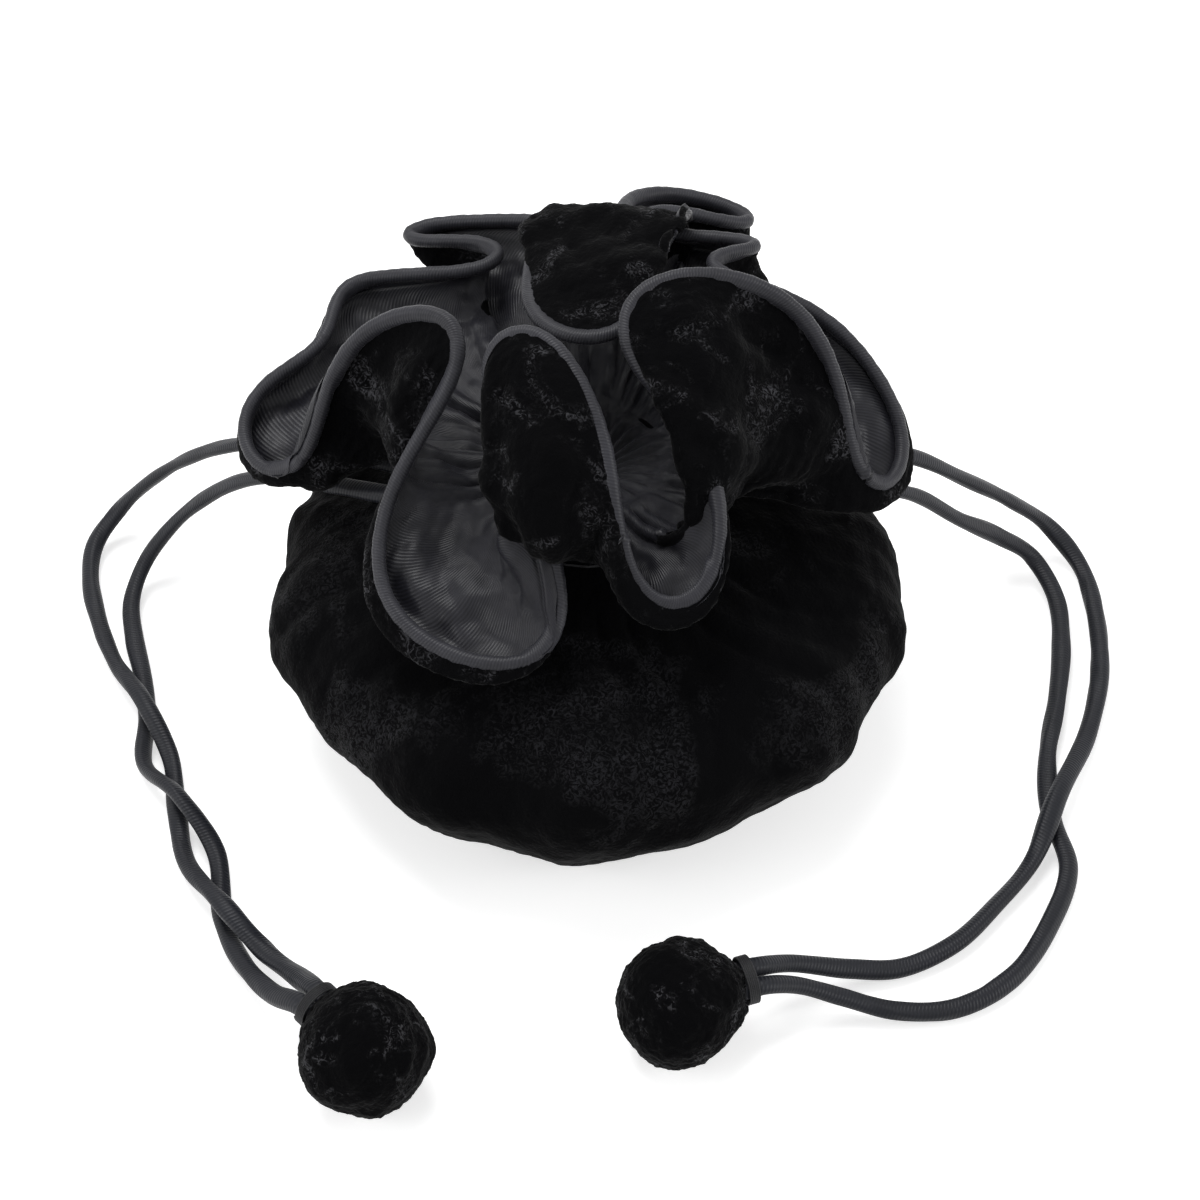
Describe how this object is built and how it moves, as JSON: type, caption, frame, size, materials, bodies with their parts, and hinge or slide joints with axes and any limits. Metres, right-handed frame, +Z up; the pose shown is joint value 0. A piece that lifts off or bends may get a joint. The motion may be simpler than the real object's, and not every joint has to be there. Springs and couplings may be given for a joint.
{
  "type": "drawstring dice bag",
  "caption": "Flat-based velvet drawstring bag with a satin lining, a piped frill above its gathered neck, and two drawstrings that end in stuffed balls.",
  "frame": {"origin": "middle of the base, on the table that the bag stands on", "axes": "+Z up through the gathered neck; the drawstrings leave along -X (left) and +X (right); the balls lie in front, towards -Y"},
  "size_m": [0.2466, 0.1949, 0.1124],
  "materials": {
    "velvet": "black crushed velvet",
    "satin_lining": "charcoal satin",
    "satin_piping": "charcoal satin, cut on the bias",
    "satin_cord": "charcoal satin tube",
    "thread": "black sewing thread",
    "board": "grey stiffener board",
    "filling": "polyester wadding and piping cord"
  },
  "bodies": {
    "bag": {"base_velvet": "velvet", "base_board": "board", "base_lining": "satin_lining", "base_seam_thread": "thread", "side_velvet": "velvet", "side_lining": "satin_lining", "casing_velvet": "velvet", "casing_lining": "satin_lining", "casing_thread_lower": "thread", "casing_thread_upper": "thread", "left_buttonhole": "thread", "right_buttonhole": "thread", "left_drawstring_run": "satin_cord", "right_drawstring_run": "satin_cord", "frill_velvet": "velvet", "frill_lining": "satin_lining", "piping_cover": "satin_piping", "piping_cord": "filling"},
    "left_cord": {"left_tail_a": "satin_cord", "left_tail_b": "satin_cord"},
    "left_ball": {"left_ball_cover": "velvet", "left_ball_stuffing": "filling", "left_ball_whipping": "thread"},
    "right_cord": {"right_tail_a": "satin_cord", "right_tail_b": "satin_cord"},
    "right_ball": {"right_ball_cover": "velvet", "right_ball_stuffing": "filling", "right_ball_whipping": "thread"}
  },
  "joints": [
    {"name": "left_pull", "type": "slide", "parent": "bag", "child": "left_cord", "axis": [-1, 0, 0], "range_m": [0, 0.024]},
    {"name": "left_ball_twist", "type": "hinge", "parent": "left_cord", "child": "left_ball", "pos_m": [-0.045, -0.11, 0.01402], "axis": [-0.7001, 0.7141, 0], "range_deg": [-90, 90]},
    {"name": "right_pull", "type": "slide", "parent": "bag", "child": "right_cord", "axis": [1, 0, 0], "range_m": [0, 0.024]},
    {"name": "right_ball_twist", "type": "hinge", "parent": "right_cord", "child": "right_ball", "pos_m": [0.019, -0.098, 0.01402], "axis": [0.9501, 0.312, 0], "range_deg": [-90, 90]}
  ]
}
